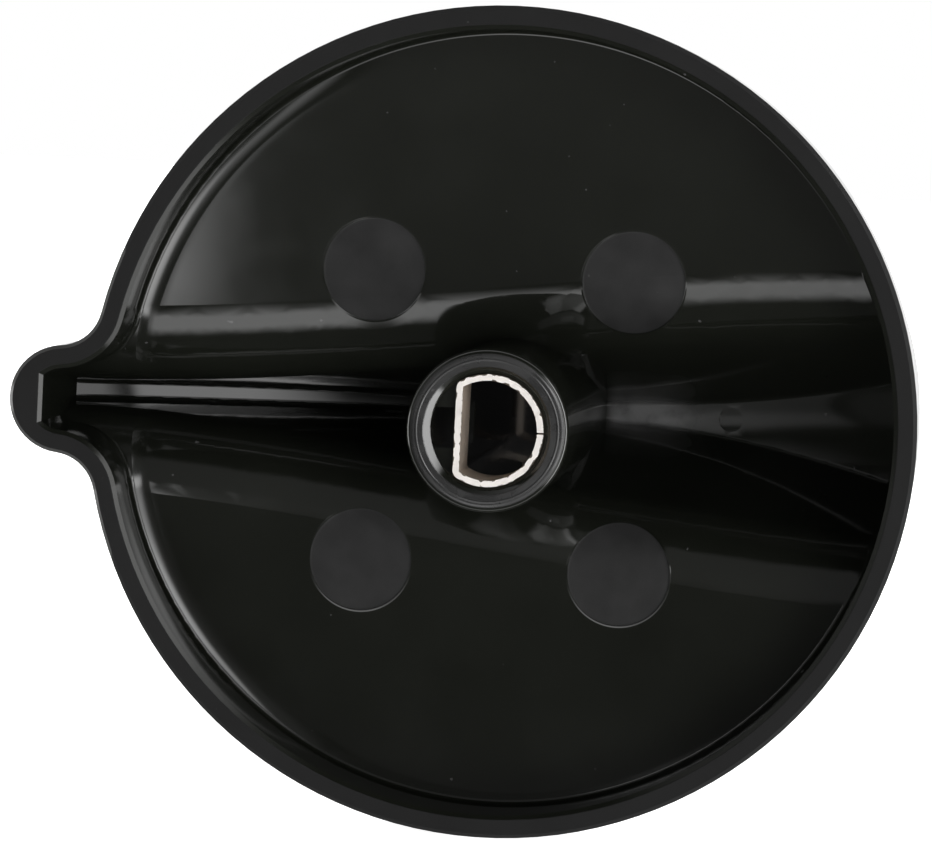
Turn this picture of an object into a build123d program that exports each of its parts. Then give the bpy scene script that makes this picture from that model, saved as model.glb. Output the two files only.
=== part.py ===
from build123d import *
import os
from math import atan, cos, degrees, radians, sin, tan

# A stove knob: one hollow plastic moulding with a D-shaped spring sleeve pressed into its stem.
# It is drawn with the plane of the rim at z = 0, the grip towards +z, the stem towards -z and the
# pointer along +x. At the end it is turned so that the shaft lies along Y and the grip faces -Y.

# Skirt and pointer, in plan
SKIRT_RADIUS = 26.0
RIM_WIDTH = 1.45
POINTER_OVERHANG = 5.0
POINTER_RADIUS = 3.4
POINTER_BLEND = 2.8
POINTER_END_WALL = 2.1

# Hollow behind the disc and the grip
FLOOR_DEPTH = 5.0
WALL = 1.8
CROWN_DEPTH = 19.3
ARCH_DROP = 6.4
GRIP_SLIM = 0.9
GRIP_WIDE = 7.6
CREST_HALF = 0.15
CREST_RISE = 1.0
ROLL_RADIUS = 5.0

# Rounded edges, and the bevels on the outer and inner edges of the rim
FRONT_ROUND = 1.5
INNER_ROUND = 0.3
RIM_EDGE = 0.25
RIM_BEVEL = 0.3
RIM_BEVEL_DEPTH = 0.2

# Stem
STEM_RADIUS = 5.0
STEM_REACH = 6.5
STEM_ROUND = 0.5
STEM_DRAFT = 0.8
MOUTH_CHAMFER = 0.45

# Shaft with one flat, the sleeve that grips it and the seat of that sleeve in the stem
SHAFT_RADIUS = 3.0
SHAFT_FLAT = 1.55
SHAFT_DEPTH = 20.0
SHAFT_CLEARANCE = 0.05
SHEET = 0.4
CLIP_LENGTH = 4.5
CLIP_INSET = 0.25
CLIP_CORNER = 0.2
CLIP_SEAM = 0.12
CLIP_CLEARANCE = 0.05
SHOULDER_INSET = 1.0
RELIEF_WIDTH = 2.5
RELIEF_DEPTH = 8.0

# Ejector-pin marks: four on the floor and a small one inside the grip
MARK_RADIUS = 3.25
MARK_SINK = 0.1
MARK_SPACING_X = 16.5
MARK_SPACING_Y = 18.5
MARK_CENTRE_X = 0.6
MARK_CENTRE_Y = -0.2
GRIP_MARK_RADIUS = 0.8
GRIP_MARK_X = -13.6

# Values that follow from the others: the pointer's tip, the arch that falls by its drop between the
# shaft and the skirt, and the length of a cutting shape that reaches past the whole part
POINTER_REACH = SKIRT_RADIUS + POINTER_OVERHANG
ARCH_RADIUS = (SKIRT_RADIUS**2 + ARCH_DROP**2) / (2 * ARCH_DROP)
BEYOND = 2 * (POINTER_REACH + SKIRT_RADIUS)

# How the finished knob is turned into its own frame
TURN = Rot(90, 0, 0)


def plan(inset):
    """The skirt's outline with its pointer, drawn in by inset."""
    nose = POINTER_REACH - POINTER_RADIUS
    face = Circle(SKIRT_RADIUS) + Pos(nose, 0) * Circle(POINTER_RADIUS)
    sides = (-POINTER_RADIUS, POINTER_RADIUS)
    corners = [face.vertices().sort_by_distance((SKIRT_RADIUS, side))[0] for side in sides]
    face = fillet(corners, POINTER_BLEND)
    return offset(face, -inset) if inset else face


def grip_outline(slim, wide, level):
    """The grip in plan at one height, swelling in an S-curve from the pointer to the tail."""
    front = POINTER_REACH + WALL
    back = -SKIRT_RADIUS - WALL
    side = Spline((front, slim), (back, wide), tangents=((-1, 0), (-1, 0)))
    ends = Line((front, slim), (front, -slim)) + Line((back, wide), (back, -wide))
    return Pos(0, 0, level) * make_face(side + mirror(side, about=Plane.XZ) + ends)


def disc_and_grip(skin):
    """An endless disc and the grip that rolls out of it, grown by skin from the hollow."""
    floor = FLOOR_DEPTH + skin
    crest = CROWN_DEPTH + CREST_RISE + skin
    lean = atan(((GRIP_SLIM + GRIP_WIDE) / 2 - CREST_HALF) / (crest - floor))
    grow = skin * (1 - sin(lean)) / cos(lean)
    foot = grip_outline(GRIP_SLIM + grow, GRIP_WIDE + grow, floor)
    top = grip_outline(CREST_HALF + grow, CREST_HALF + grow, crest)
    disc = Pos(0, 0, floor / 2) * Box(BEYOND, BEYOND, floor)
    solid = disc + loft([foot, top], ruled=True)
    long_edges = solid.edges().filter_by(lambda edge: SKIRT_RADIUS < edge.length < BEYOND - WALL)
    feet = long_edges.filter_by_position(Axis.Z, floor, floor)
    return fillet(feet, ROLL_RADIUS - skin)


def form(skin, inset):
    """Disc and arched grip, grown by skin from the hollow and drawn in by inset from the outline."""
    arch = Pos(0, 0, CROWN_DEPTH - ARCH_RADIUS) * Rot(90, 0, 0) * Cylinder(ARCH_RADIUS + skin, BEYOND)
    return extrude(plan(inset), BEYOND) & disc_and_grip(skin) & arch


def ridge_edges(solid):
    """The two long edges where the arch meets the flanks."""
    long_edges = solid.edges().filter_by(lambda edge: edge.length > SKIRT_RADIUS)
    return long_edges.sort_by(Axis.Z)[-2:]


def top_edges(solid):
    """The closed run of edges where the upright walls end against the disc's face and the grip."""
    upright = solid.faces().filter_by(lambda face: abs(face.normal_at().Z) < 0.01)
    edges = upright.edges().filter_by(Axis.Z, reverse=True)
    return edges.filter_by(lambda edge: edge.center().Z > FLOOR_DEPTH / 2)


def bottom_edges(solid):
    """The edges in the plane of the rim."""
    return solid.faces().filter_by(Plane.XY).sort_by(Axis.Z)[0].edges()


def outer_form():
    """The knob's outside, solid, with its front edges rounded and its rim bevelled."""
    solid = form(WALL, 0)
    solid = fillet(top_edges(solid) + ridge_edges(solid), FRONT_ROUND)
    return chamfer(bottom_edges(solid), RIM_EDGE)


def up_to(x):
    """Everything on the shaft's side of an upright plane across the pointer."""
    return Pos(x - BEYOND / 2, 0, 0) * Box(BEYOND, BEYOND, BEYOND)


def hollow_form():
    """The space behind the disc and inside the grip, which ends in a flat wall at the pointer."""
    end = POINTER_REACH - POINTER_END_WALL
    solid = form(0, RIM_WIDTH)
    solid = fillet(top_edges(solid) + ridge_edges(solid), INNER_ROUND) & up_to(end)
    short = Pos(end + RIM_BEVEL - BEYOND / 2, 0) * Rectangle(BEYOND, BEYOND)
    mouth = plan(RIM_WIDTH - RIM_BEVEL) & short
    slope = degrees(atan(RIM_BEVEL / RIM_BEVEL_DEPTH))
    return solid + extrude(mouth, RIM_BEVEL_DEPTH, taper=slope)


def rod(radius, start, end):
    """An upright round bar from height start to height end."""
    return Pos(0, 0, start) * extrude(Circle(radius), end - start)


def d_profile(grow):
    """The shaft's section with its running clearance, grown by grow."""
    radius = SHAFT_RADIUS + SHAFT_CLEARANCE
    flat = SHAFT_FLAT + SHAFT_CLEARANCE
    face = Circle(radius) & Pos(flat - radius, 0) * Rectangle(2 * radius, 2 * radius)
    face = fillet(face.vertices(), CLIP_CORNER)
    return offset(face, grow) if grow else face


def marks(hollow):
    """The ejector pins' ends, a little deeper than the floor that they stand on."""
    places = GridLocations(MARK_SPACING_X, MARK_SPACING_Y, 2, 2)
    ends = [Pos(MARK_CENTRE_X, MARK_CENTRE_Y) * place * Circle(MARK_RADIUS) for place in places]
    ends.append(Pos(GRIP_MARK_X, 0) * Circle(GRIP_MARK_RADIUS))
    return extrude(Sketch() + ends, BEYOND) & Pos(0, 0, MARK_SINK) * hollow


def stem():
    """The straight end of the stem behind the rim, with its outer edge rounded."""
    solid = rod(STEM_RADIUS, -STEM_REACH, 0)
    return fillet(solid.edges().sort_by(Axis.Z)[0], STEM_ROUND)


def column():
    """The stem inside the hollow, which widens with its draft as far as the crown."""
    foot = STEM_RADIUS + CROWN_DEPTH * tan(radians(STEM_DRAFT))
    return Pos(0, 0, CROWN_DEPTH / 2) * Cone(STEM_RADIUS, foot, CROWN_DEPTH)


def socket():
    """The hole in the stem: seat of the sleeve, D-shaped shaft hole and relief behind the flat."""
    mouth = -STEM_REACH
    seat_radius = SHAFT_RADIUS + SHAFT_CLEARANCE + SHEET + CLIP_CLEARANCE
    seat_flat = SHAFT_FLAT + SHAFT_CLEARANCE + SHEET + CLIP_CLEARANCE
    seat = rod(seat_radius, mouth, mouth + CLIP_INSET + CLIP_LENGTH)
    shoulder = Pos(seat_flat + seat_radius, 0, mouth + SHOULDER_INSET + BEYOND / 2)
    seat -= shoulder * Box(2 * seat_radius, BEYOND, BEYOND)
    lead = Cone(seat_radius + MOUTH_CHAMFER, seat_radius, MOUTH_CHAMFER)
    lead = Pos(0, 0, mouth + MOUTH_CHAMFER / 2) * lead
    hole = Pos(0, 0, mouth) * extrude(d_profile(0), SHAFT_DEPTH)
    slot = Pos(seat_radius / 2, 0, mouth + RELIEF_DEPTH / 2) * Box(seat_radius, RELIEF_WIDTH, RELIEF_DEPTH)
    relief = rod(seat_radius, mouth, mouth + RELIEF_DEPTH) & slot
    return seat + lead + hole + relief


def knob_body():
    """The moulding."""
    hollow = hollow_form()
    solid = outer_form() - (hollow - column())
    return solid + stem() - socket() - marks(hollow)


def shaft_clip():
    """The spring sleeve, rolled from sheet with its seam opposite the flat."""
    ring = d_profile(SHEET) - d_profile(0)
    seam = Pos(-BEYOND / 2, 0) * Rectangle(BEYOND, CLIP_SEAM)
    return Pos(0, 0, CLIP_INSET - STEM_REACH) * extrude(ring - seam, CLIP_LENGTH)


def main():
    os.makedirs("parts", exist_ok=True)
    for name, piece in (("knob_body", knob_body()), ("shaft_clip", shaft_clip())):
        print(name, piece.is_valid, len(piece.solids()), round(piece.volume, 1))
        export_step(TURN * piece, f"parts/{name}.step")


main()
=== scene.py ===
import bpy
from math import cos, degrees, radians, sin
from mathutils import Matrix, Vector
from types import SimpleNamespace


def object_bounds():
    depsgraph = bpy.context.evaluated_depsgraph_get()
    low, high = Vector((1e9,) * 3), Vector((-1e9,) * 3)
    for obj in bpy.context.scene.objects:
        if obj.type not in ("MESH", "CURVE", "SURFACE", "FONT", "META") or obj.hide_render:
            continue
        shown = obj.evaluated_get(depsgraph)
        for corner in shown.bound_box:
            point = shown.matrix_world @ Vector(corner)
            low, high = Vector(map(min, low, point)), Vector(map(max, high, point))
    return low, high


# The stove knob seen from behind: a black moulding with a steel sleeve in its stem.
# Everything is in metres, in the part's own frame: the shaft along Y, the grip towards -Y,
# the pointer towards +X and up along Z.

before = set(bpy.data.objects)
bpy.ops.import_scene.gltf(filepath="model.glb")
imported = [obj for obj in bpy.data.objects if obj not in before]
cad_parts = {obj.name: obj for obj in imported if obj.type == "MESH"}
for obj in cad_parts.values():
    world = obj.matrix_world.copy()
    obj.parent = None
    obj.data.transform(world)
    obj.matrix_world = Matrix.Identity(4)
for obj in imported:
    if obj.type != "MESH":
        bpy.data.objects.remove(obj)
cad_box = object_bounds()
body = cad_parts["knob_body"]
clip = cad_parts["shaft_clip"]

MM = 0.001

# The photograph: its size, the pixel that shows the shaft's axis and the size of a pixel at the rim
PHOTO_WIDTH = 932
PHOTO_HEIGHT = 845
AXIS_PIXEL_X = 497.9
AXIS_PIXEL_Y = 424.2
PIXEL = 0.0623 * MM

# The camera behind the knob, a little to the picture's right and above the axis
CAMERA_DISTANCE = 280 * MM
CAMERA_RIGHT = 29.3 * MM
CAMERA_UP = 17.5 * MM
CAMERA_ROLL = radians(2.9)
CAMERA_NEAR = 10 * MM
SENSOR = 36.0

# Where the plastic changes its finish: on the rim, on its outer bevel, on the stem's end and on the
# ejector marks. A face looks to the back where its normal points that way by more than FACING_BACK.
FACING_BACK = 0.02
RIM_FACE = -0.03 * MM
RIM_INSIDE = 12 * MM
RIM_CORNER = -0.4 * MM
RIM_OUTSIDE = 25.6 * MM
POINTER_START = 24 * MM
STEM_END = (6.42 * MM, 6.47 * MM)
STEM_RADIUS = 5.05 * MM
MARK_CENTRE = Vector((0.6, 0, -0.2)) * MM
MARK_HALF_SPACING = Vector((8.25, 0, 9.25)) * MM
MARK_RADIUS = 3.25 * MM
MARK_EDGE = (1.01 * MARK_RADIUS, 0.98 * MARK_RADIUS)

# The floor of the hollow isn't quite flat: at the pointer's side it turns up a little before the wall
BEND_START = 23.3 * MM
BEND_WIDTH = 1.0 * MM
BEND_HAZE = (22.8 * MM, 23.8 * MM)
BEND_CURVE = 225.0
BEND_SIDE = (8 * MM, 18 * MM)
BEND_DEPTH = -8 * MM

# A light grey streak in the colour along the bottom of the grip, beside the stem: where it begins and is
# full
STREAK_NEAR = (5 * MM, 6 * MM)
STREAK_FAR = (13 * MM, 7.8 * MM)
STREAK_HALF = (1.4 * MM, 0.28 * MM)
STREAK_DEPTH = -13 * MM
STREAK_PATCHES = (0.25, 0.6, 0.4, 1.0)

# The plastic's black, which is faintly olive, and the greys of its other places
OLIVE_DARK = (0.0034, 0.0037, 0.0028, 1.0)
OLIVE_LIGHT = (0.0066, 0.0072, 0.0056, 1.0)
MARK_DARK = 0.002
MARK_LIGHT = 0.018
RIM_DARK = 0.003
RIM_LIGHT = 0.008
STEM_GREY = 0.010
STREAK_GREY = 0.09
SPECK_GREY = 0.04

# The plastic's roughness, over a range of the noise where there are four numbers, and its gloss
PLAIN_ROUGHNESS = (0.3, 0.7, 0.05, 0.08)
STEM_ROUGHNESS = (0.35, 0.65, 0.2, 0.4)
BEND_ROUGHNESS = 0.17
MARK_ROUGHNESS = 0.55
RIM_ROUGHNESS = 0.75
PLAIN_GLOSS = 0.5
DULL_GLOSS = 0.22
PLASTIC_IOR = 1.5

# Fine relief on the plastic: slow waves, the lips of the marks and a turned ring on the stem's end
RELIEF_UNIT = 0.01 * MM
WAVE_RELIEF = 0.4
LIP_RELIEF = 1.3
LIP_WIDTH = 0.12 * MM
SWIRL_RELIEF = 2.5
SWIRL_RADIUS = 4.35 * MM
SWIRL_WIDTH = 0.1 * MM

# Noise: how many of its waves fit into a metre, its detail, and where a peak of it is a speck of dust
CLOUD_SCALE = 160.0
MOTTLE_SCALE = 520.0
SPECK_SCALE = 2400.0
WAVE_SCALE = 120.0
SHEEN_SCALE = 900.0
NICK_SCALE = 1900.0
NOISE_DETAIL = 4.0
SPECK_DETAIL = 0.0
WAVE_DETAIL = 1.0
NICK_DETAIL = 3.0
NOISE_ROUGHNESS = 0.55
SPECK_PEAK = (0.86, 0.88)

# The sleeve's section: the radius and the flat of its hole, the thickness of its sheet and its end
SLEEVE_RADIUS = 3.05 * MM
SLEEVE_FLAT = 1.6 * MM
SLEEVE_SHEET = 0.4 * MM
SLEEVE_END = 6.2 * MM

# The sleeve's steel: how light and how warm its colours are, its roughness, and its nicks
STEEL_DULL = (0.66, 0.06)
STEEL_BRIGHT = (0.86, 0.04)
STEEL_INSIDE = (0.58, 0.16)
STEEL_BROKEN = (0.06, 0.2)
STEEL_METALLIC = 0.8
STEEL_ROUGHNESS = (0.3, 0.7, 0.36, 0.55)
NICK_REACH = (0.45, 0.75, 0.0, 0.13 * MM)
NICK_RELIEF = 0.03 * MM

# Rounds about the shaft's axis: the radius of their ring, its height and their own radius
FLOOR_ROUND = (24.25 * MM, -4.7 * MM, 0.3 * MM)
STEM_ROUND = (4.5 * MM, 6.0 * MM, 0.5 * MM)
ROUND_SLACK = 0.004 * MM

# The pale floor, which glows so that it stays white around the knob
FLOOR_HALF = 3.0
FLOOR_GREY = 0.8
FLOOR_ROUGHNESS = 0.9
FLOOR_GLOW = 0.95

# The windows of the studio: where each begins, is full, is still full and ends, sideways and upwards
# in degrees, and its radiance. Sideways is from the shaft's axis towards the pointer.
WINDOWS = (
    # A wide one at the tail's side with brighter ends, and three more beside it, ever further round
    ((-44.5, -42.5, -30, -12), (-26, -20, 20, 26), 3.5),
    ((-44.5, -42.5, -20, -12), (-26, -20, -13, -8), 4.0),
    ((-44.5, -42.5, -20, -12), (8, 13, 20, 26), 4.0),
    ((-61, -59, -53, -51), (-13, -11, 7, 9), 2.0),
    ((-66, -62, -48, -44), (-45, -39, 39, 45), 2.2),
    ((-94, -91, -81, -78), (-50, -40, 40, 50), 8.0),
    # A slim one close to the axis and a broad one far round at the pointer's side
    ((9.1, 10.1, 12, 13), (-3.5, -2.3, 10, 14), 3.4),
    ((81, 87, 103, 109), (-19, -13, 3, 9), 3.0),
    # Two in front of the knob
    ((127, 133, 167, 173), (17, 23, 47, 53), 4.0),
    ((-163, -157, -133, -127), (-3, 3, 27, 33), 2.0),
)

# A low window that is brighter towards the pointer: from which angle to which, and its radiance there
LOW_WINDOW = ((-19, -9, 17, 27), (-51, -34, -22, -7))
LOW_FADE = (-4, 5, 1.7, 2.7)

# The dim field behind the knob, brighter upwards and dark at the top, and the even light in front
FIELD_RISE = (-7.5, 6, 0.06, 0.24)
FIELD_TOP = (52, 42)
FRONT_EDGE = (0.15, -0.05)
FRONT_LIGHT = 1.0


class Nodes:
    """Short calls for building a node tree."""

    def __init__(self, tree):
        self.tree = tree
        tree.nodes.clear()

    def add(self, kind, inputs=None, **settings):
        node = self.tree.nodes.new(kind)
        for name, value in settings.items():
            setattr(node, name, value)
        for key, value in (inputs or {}).items():
            self.set(node.inputs[key], value)
        return node

    def set(self, socket, value):
        if isinstance(value, bpy.types.NodeSocket):
            self.tree.links.new(value, socket)
        else:
            socket.default_value = value

    def math(self, operation, *values):
        return self.add("ShaderNodeMath", dict(enumerate(values)), operation=operation).outputs[0]

    def product(self, first, *others):
        """Several numbers multiplied, such as the shares of places that have to overlap."""
        for other in others:
            first = self.math("MULTIPLY", first, other)
        return first

    def vector(self, operation, *values, output="Vector"):
        inputs = dict(enumerate(values))
        return self.add("ShaderNodeVectorMath", inputs, operation=operation).outputs[output]

    def part(self, vector, axis):
        return self.add("ShaderNodeSeparateXYZ", {"Vector": vector}).outputs[axis]

    def noise(self, place, scale, detail=NOISE_DETAIL):
        inputs = {"Vector": place, "Scale": scale, "Detail": detail, "Roughness": NOISE_ROUGHNESS}
        return self.add("ShaderNodeTexNoise", inputs).outputs["Fac"]

    def ramp(self, value, low, high, to_low=0.0, to_high=1.0):
        inputs = {"Value": value, "From Min": low, "From Max": high, "To Min": to_low, "To Max": to_high}
        return self.add("ShaderNodeMapRange", inputs, interpolation_type="SMOOTHSTEP").outputs["Result"]

    def mix(self, share, first, second):
        """Between two colours; the node has sockets of its own for each kind of value."""
        return self.add("ShaderNodeMix", {0: share, 6: first, 7: second}, data_type="RGBA").outputs[2]

    def blend(self, share, first, second):
        """Between two numbers."""
        return self.add("ShaderNodeMix", {0: share, 2: first, 3: second}, data_type="FLOAT").outputs[0]

    def surface(self, settings):
        """The material's one shader."""
        shader = self.add("ShaderNodeBsdfPrincipled", settings)
        self.add("ShaderNodeOutputMaterial", {"Surface": shader.outputs["BSDF"]})


def new_material(name):
    material = bpy.data.materials.new(name)
    material.use_nodes = True
    return material, Nodes(material.node_tree)


def object_place(nodes):
    return nodes.add("ShaderNodeTexCoord").outputs["Object"]


def grey(level, warm=0.0):
    return (level * (1 + warm), level, level * (1 - warm), 1.0)


def axis_place(nodes, place):
    """Height along the shaft and distance from it."""
    radius = nodes.vector("LENGTH", nodes.vector("MULTIPLY", place, (1, 0, 1)), output="Value")
    return nodes.part(place, "Y"), radius


def mark_distance(nodes, place):
    """Distance from the middle of the nearest round ejector mark."""
    across = nodes.vector("ABSOLUTE", nodes.vector("SUBTRACT", place, MARK_CENTRE))
    flat = nodes.vector("MULTIPLY", nodes.vector("SUBTRACT", across, MARK_HALF_SPACING), (1, 0, 1))
    return nodes.vector("LENGTH", flat, output="Value")


def ring(nodes, radius, middle, half_width):
    """One on a circle, falling to nothing at half_width on both sides."""
    off = nodes.math("ABSOLUTE", nodes.math("SUBTRACT", radius, middle))
    return nodes.ramp(off, half_width, 0.0)


def relief_normal(nodes, height, distance, normal=None):
    """A normal that follows a small relief; distance is the height of its unit."""
    inputs = {"Height": height, "Distance": distance}
    if normal:
        inputs["Normal"] = normal
    return nodes.add("ShaderNodeBump", inputs).outputs["Normal"]


def bent_floor(nodes, place, height, inside):
    """The part of the floor that turns up before the wall."""
    shallow = nodes.math("GREATER_THAN", height, BEND_DEPTH)
    return nodes.product(nodes.ramp(nodes.part(place, "X"), *BEND_SIDE), inside, shallow)


def floor_rise(nodes, radius):
    """How far the floor turns up before the wall, in metres."""
    past = nodes.math("MAXIMUM", nodes.math("SUBTRACT", radius, BEND_START), 0.0)
    past = nodes.math("MINIMUM", past, BEND_WIDTH)
    return nodes.product(nodes.math("POWER", past, 2.0), BEND_CURVE)


def grey_streak_share(nodes, place, mottle, inside):
    """Where the bottom of the grip has a light grey streak in its colour, in patches."""
    along = nodes.product(nodes.part(place, "X"), -1.0)
    near = nodes.ramp(along, *STREAK_NEAR)
    far = nodes.ramp(along, *STREAK_FAR)
    middle = nodes.ramp(nodes.math("ABSOLUTE", nodes.part(place, "Z")), *STREAK_HALF)
    deep = nodes.math("LESS_THAN", nodes.part(place, "Y"), STREAK_DEPTH)
    return nodes.product(near, far, middle, deep, inside, nodes.ramp(mottle, *STREAK_PATCHES))


def rim_corner(nodes, place, height, radius):
    """The bevel around the skirt's outer edge, as dull as the rim."""
    outer = nodes.math("GREATER_THAN", radius, RIM_OUTSIDE)
    skirt = nodes.math("LESS_THAN", nodes.part(place, "X"), POINTER_START)
    return nodes.product(outer, skirt, nodes.math("GREATER_THAN", height, RIM_CORNER))


def plastic_zones(nodes, place, mottle):
    """Where the plastic changes its finish: each zone is a share from nothing to one."""
    height, radius = axis_place(nodes, place)
    normal = nodes.add("ShaderNodeNewGeometry").outputs["True Normal"]
    to_back = nodes.math("GREATER_THAN", nodes.part(normal, "Y"), FACING_BACK)
    high = nodes.math("GREATER_THAN", height, RIM_FACE)
    inside = nodes.product(nodes.math("SUBTRACT", 1.0, high), to_back)
    from_mark = mark_distance(nodes, place)
    rim = nodes.product(high, nodes.math("GREATER_THAN", radius, RIM_INSIDE))
    narrow = nodes.math("LESS_THAN", radius, STEM_RADIUS)
    stem = nodes.product(nodes.ramp(height, *STEM_END), narrow)
    return SimpleNamespace(
        radius=radius,
        marks=nodes.product(nodes.ramp(from_mark, *MARK_EDGE), inside),
        lips=nodes.product(ring(nodes, from_mark, MARK_RADIUS, LIP_WIDTH), inside),
        rim=nodes.math("MAXIMUM", rim, rim_corner(nodes, place, height, radius)),
        stem=stem,
        swirl=nodes.product(ring(nodes, radius, SWIRL_RADIUS, SWIRL_WIDTH), stem),
        grey_streak=grey_streak_share(nodes, place, mottle, inside),
        bent=bent_floor(nodes, place, height, inside),
    )


def plastic_colour(nodes, place, zones, cloud, mottle):
    """Black, with greyer marks, rim and stem's end, a light grey streak along the bottom of the grip, and
    dust.
    """
    specks = nodes.ramp(nodes.noise(place, SPECK_SCALE, SPECK_DETAIL), *SPECK_PEAK)
    colour = nodes.mix(cloud, OLIVE_DARK, OLIVE_LIGHT)
    colour = nodes.mix(zones.marks, colour, nodes.mix(mottle, grey(MARK_DARK), grey(MARK_LIGHT)))
    colour = nodes.mix(zones.rim, colour, nodes.mix(cloud, grey(RIM_DARK), grey(RIM_LIGHT)))
    colour = nodes.mix(zones.stem, colour, grey(STEM_GREY))
    # A patchy light grey streak in the colour along the bottom of the grip, beside the stem
    colour = nodes.mix(zones.grey_streak, colour, grey(STREAK_GREY))
    return nodes.mix(specks, colour, grey(SPECK_GREY))


def plastic_roughness(nodes, zones, cloud, mottle):
    """Smooth, and rougher where the floor bends, on the marks, on the rim and on the stem's end."""
    hazy = nodes.product(nodes.ramp(zones.radius, *BEND_HAZE), zones.bent)
    roughness = nodes.blend(hazy, nodes.ramp(cloud, *PLAIN_ROUGHNESS), BEND_ROUGHNESS)
    roughness = nodes.blend(zones.marks, roughness, MARK_ROUGHNESS)
    roughness = nodes.blend(zones.rim, roughness, RIM_ROUGHNESS)
    return nodes.blend(zones.stem, roughness, nodes.ramp(mottle, *STEM_ROUGHNESS))


def plastic_normal(nodes, place, zones):
    """The normal with the fine relief, and with the floor's bend on top of it."""
    relief = nodes.product(nodes.noise(place, WAVE_SCALE, WAVE_DETAIL), WAVE_RELIEF)
    relief = nodes.math("ADD", relief, nodes.product(zones.lips, LIP_RELIEF))
    relief = nodes.math("ADD", relief, nodes.product(zones.swirl, SWIRL_RELIEF))
    normal = relief_normal(nodes, relief, RELIEF_UNIT)
    return relief_normal(nodes, nodes.product(floor_rise(nodes, zones.radius), zones.bent), 1.0, normal)


def black_plastic():
    """Glossy moulded plastic, duller on the rim, on the stem's end and on the ejector marks."""
    material, nodes = new_material("black_plastic")
    place = object_place(nodes)
    cloud = nodes.noise(place, CLOUD_SCALE)
    mottle = nodes.noise(place, MOTTLE_SCALE)
    zones = plastic_zones(nodes, place, mottle)
    dull = nodes.math("MAXIMUM", zones.rim, zones.marks)
    nodes.surface({
        "Base Color": plastic_colour(nodes, place, zones, cloud, mottle),
        "Roughness": plastic_roughness(nodes, zones, cloud, mottle),
        "Normal": plastic_normal(nodes, place, zones),
        "IOR": PLASTIC_IOR,
        "Specular IOR Level": nodes.blend(dull, PLAIN_GLOSS, DULL_GLOSS),
    })
    return material


def sheared_edge(nodes, place, nicks):
    """Nicks along both edges of the sleeve's end, where the sheet was sheared."""
    height, radius = axis_place(nodes, place)
    from_round = nodes.math("SUBTRACT", radius, SLEEVE_RADIUS)
    from_flat = nodes.math("SUBTRACT", nodes.part(place, "X"), SLEEVE_FLAT)
    into = nodes.math("MAXIMUM", from_round, from_flat)
    to_edge = nodes.math("MINIMUM", into, nodes.math("SUBTRACT", SLEEVE_SHEET, into))
    broken = nodes.math("LESS_THAN", to_edge, nodes.ramp(nicks, *NICK_REACH))
    return nodes.product(broken, nodes.math("GREATER_THAN", height, SLEEVE_END))


def spring_steel():
    """Bare sheet steel with a rough sheared end."""
    material, nodes = new_material("spring_steel")
    place = object_place(nodes)
    nicks = nodes.noise(place, NICK_SCALE, NICK_DETAIL)
    deep = nodes.math("LESS_THAN", nodes.part(place, "Y"), SLEEVE_END)
    colour = nodes.mix(nodes.noise(place, SHEEN_SCALE), grey(*STEEL_DULL), grey(*STEEL_BRIGHT))
    colour = nodes.mix(deep, colour, grey(*STEEL_INSIDE))
    colour = nodes.mix(sheared_edge(nodes, place, nicks), colour, grey(*STEEL_BROKEN))
    nodes.surface({
        "Base Color": colour,
        "Metallic": STEEL_METALLIC,
        "Roughness": nodes.ramp(nicks, *STEEL_ROUGHNESS),
        "Normal": relief_normal(nodes, nicks, NICK_RELIEF),
    })
    return material


def round_normal(place, normal, circle):
    """The exact normal of a round about the shaft's axis, or none if the place isn't on it."""
    ring_radius, height, radius = circle
    across = Vector((place.x, 0, place.z))
    away = place - across.normalized() * ring_radius - Vector((0, height, 0))
    if abs(away.length - radius) > ROUND_SLACK:
        return None
    return away.normalized() if away.dot(normal) > 0 else -away.normalized()


def true_rounds(piece):
    """Exact normals on the rounds about the shaft's axis, where the mesh has only rough ones."""
    normals = []
    for vertex in piece.data.vertices:
        exact = [round_normal(vertex.co, vertex.normal, circle) for circle in (FLOOR_ROUND, STEM_ROUND)]
        normals.append(exact[0] or exact[1] or vertex.normal.copy())
    piece.data.normals_split_custom_set_from_vertices(normals)


def dress(piece, material):
    piece.data.materials.clear()
    piece.data.materials.append(material)


def pale_floor():
    """A pale floor under the skirt that the camera sees and the gloss of the plastic doesn't."""
    corners = [(-FLOOR_HALF, -FLOOR_HALF), (FLOOR_HALF, -FLOOR_HALF)]
    corners += [(FLOOR_HALF, FLOOR_HALF), (-FLOOR_HALF, FLOOR_HALF)]
    mesh = bpy.data.meshes.new("floor")
    mesh.from_pydata([(x, y, cad_box[0].z) for x, y in corners], [], [(0, 1, 2, 3)])
    floor = bpy.data.objects.new("floor", mesh)
    bpy.context.scene.collection.objects.link(floor)
    material, nodes = new_material("pale_floor")
    nodes.surface({
        "Base Color": grey(FLOOR_GREY),
        "Roughness": FLOOR_ROUGHNESS,
        "Emission Color": grey(1.0),
        "Emission Strength": FLOOR_GLOW,
    })
    mesh.materials.append(material)
    floor.visible_glossy = False
    floor.visible_shadow = False


def window(nodes, angles, edges, radiance):
    """Light from a soft-edged rectangle of directions, given by its edges sideways and upwards."""
    light = radiance
    for angle, (begins, full, still, ends) in zip(angles, edges):
        light = nodes.product(light, nodes.ramp(angle, begins, full), nodes.ramp(angle, ends, still))
    return light


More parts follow.
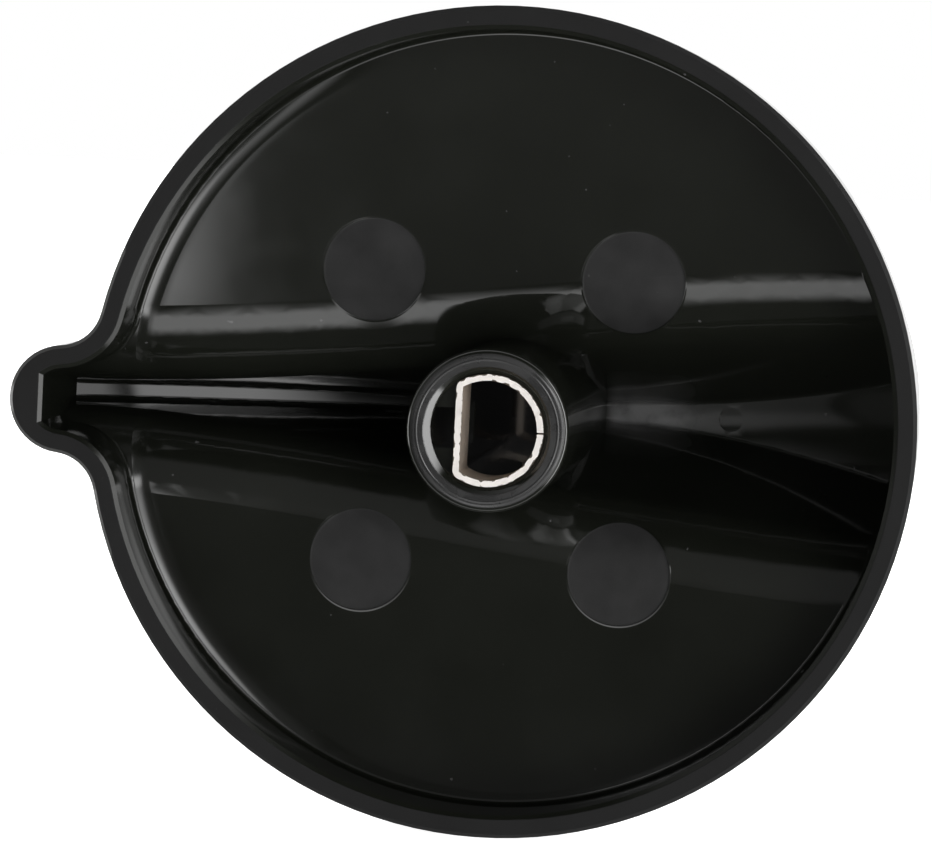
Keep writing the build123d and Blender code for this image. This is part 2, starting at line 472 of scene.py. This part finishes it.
def studio(nodes):
    """How bright the studio is in each direction: soft windows around a dim field behind the knob."""
    direction = nodes.add("ShaderNodeTexCoord").outputs["Generated"]
    ways = nodes.add("ShaderNodeSeparateXYZ", {"Vector": direction}).outputs
    side = nodes.product(nodes.math("ARCTAN2", ways["X"], ways["Y"]), degrees(1))
    up = nodes.product(nodes.math("ARCSINE", ways["Z"]), degrees(1))
    field = nodes.product(nodes.ramp(up, *FIELD_RISE), nodes.ramp(up, *FIELD_TOP))
    light = nodes.blend(nodes.ramp(ways["Y"], *FRONT_EDGE), field, FRONT_LIGHT)
    for side_edges, up_edges, radiance in WINDOWS:
        light = nodes.math("ADD", light, window(nodes, (side, up), (side_edges, up_edges), radiance))
    low = window(nodes, (side, up), LOW_WINDOW, nodes.ramp(side, *LOW_FADE))
    return nodes.math("ADD", light, low)


def white_world():
    """White behind the knob for the camera, and the studio for everything else."""
    world = bpy.data.worlds.new("studio")
    world.use_nodes = True
    bpy.context.scene.world = world
    nodes = Nodes(world.node_tree)
    lit = nodes.add("ShaderNodeBackground", {"Color": grey(1.0), "Strength": studio(nodes)})
    white = nodes.add("ShaderNodeBackground", {"Color": grey(1.0), "Strength": 1.0})
    seen = nodes.add("ShaderNodeLightPath").outputs["Is Camera Ray"]
    both = nodes.add("ShaderNodeMixShader", {0: seen, 1: lit.outputs[0], 2: white.outputs[0]})
    nodes.add("ShaderNodeOutputWorld", {"Surface": both.outputs[0]})


def add_camera():
    """The camera of the photograph, aimed so that the shaft's axis falls on its pixel."""
    right = Vector((-cos(CAMERA_ROLL), 0, sin(CAMERA_ROLL)))
    up = Vector((sin(CAMERA_ROLL), 0, cos(CAMERA_ROLL)))
    aim = right * (PHOTO_WIDTH / 2 - AXIS_PIXEL_X) * PIXEL + up * (AXIS_PIXEL_Y - PHOTO_HEIGHT / 2) * PIXEL
    place = right * CAMERA_RIGHT + up * CAMERA_UP + Vector((0, CAMERA_DISTANCE, 0))
    back = (place - aim).normalized()
    side = up.cross(back).normalized()
    turn = Matrix((side, back.cross(side), back)).transposed()
    data = bpy.data.cameras.new("camera")
    data.sensor_width = SENSOR
    data.lens = SENSOR * (place - aim).length / (PHOTO_WIDTH * PIXEL)
    data.clip_start = CAMERA_NEAR
    camera = bpy.data.objects.new("camera", data)
    bpy.context.scene.collection.objects.link(camera)
    camera.matrix_world = Matrix.Translation(place) @ turn.to_4x4()
    bpy.context.scene.camera = camera


bpy.context.scene.view_settings.view_transform = "Standard"
dress(body, black_plastic())
dress(clip, spring_steel())
true_rounds(body)
pale_floor()
white_world()
add_camera()
